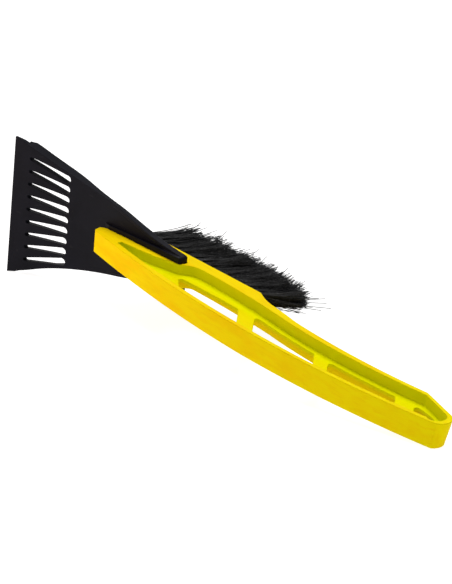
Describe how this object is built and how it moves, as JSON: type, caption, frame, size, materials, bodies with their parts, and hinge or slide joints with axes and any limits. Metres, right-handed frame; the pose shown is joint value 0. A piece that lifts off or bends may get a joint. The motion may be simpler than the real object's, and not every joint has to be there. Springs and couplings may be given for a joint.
{
  "type": "ice scraper",
  "caption": "Handheld windshield ice scraper: a slotted, flared scraper head slides out of the front of an open-webbed handle with a leaning bristle brush on its back.",
  "frame": {"origin": "centre of the whole tool's bounding box, on the handle's middle plane", "axes": "+X from the blade to the tail, +Y from the belly to the bristles, +Z across the blade's width, towards the rim that faces up in the usual picture of the tool lying on its side"},
  "size_m": [0.3936, 0.0786, 0.1],
  "materials": {
    "handle_plastic": "moulded yellow polypropylene, satin to semi-gloss",
    "scraper_plastic": "moulded black plastic, satin",
    "bristle": "black synthetic bristle",
    "staple_wire": "drawn flat wire"
  },
  "bodies": {
    "handle": {"handle": "handle_plastic", "tuft_left_01": "bristle", "tuft_left_02": "bristle", "tuft_left_03": "bristle", "tuft_left_04": "bristle", "tuft_left_05": "bristle", "tuft_left_06": "bristle", "tuft_left_07": "bristle", "tuft_left_08": "bristle", "tuft_left_09": "bristle", "tuft_left_10": "bristle", "tuft_left_11": "bristle", "tuft_left_12": "bristle", "tuft_left_13": "bristle", "tuft_left_14": "bristle", "tuft_middle_01": "bristle", "tuft_middle_02": "bristle", "tuft_middle_03": "bristle", "tuft_middle_04": "bristle", "tuft_middle_05": "bristle", "tuft_middle_06": "bristle", "tuft_middle_07": "bristle", "tuft_middle_08": "bristle", "tuft_middle_09": "bristle", "tuft_middle_10": "bristle", "tuft_middle_11": "bristle", "tuft_middle_12": "bristle", "tuft_middle_13": "bristle", "tuft_middle_14": "bristle", "tuft_right_01": "bristle", "tuft_right_02": "bristle", "tuft_right_03": "bristle", "tuft_right_04": "bristle", "tuft_right_05": "bristle", "tuft_right_06": "bristle", "tuft_right_07": "bristle", "tuft_right_08": "bristle", "tuft_right_09": "bristle", "tuft_right_10": "bristle", "tuft_right_11": "bristle", "tuft_right_12": "bristle", "tuft_right_13": "bristle", "tuft_right_14": "bristle", "staples_left": "staple_wire", "staples_middle": "staple_wire", "staples_right": "staple_wire"},
    "scraper": {"scraper_head": "scraper_plastic"}
  },
  "joints": [
    {"name": "scraper_slide", "type": "slide", "parent": "handle", "child": "scraper", "axis": [-0.9921, -0.1253, 0], "range_m": [0, 0.075]}
  ]
}
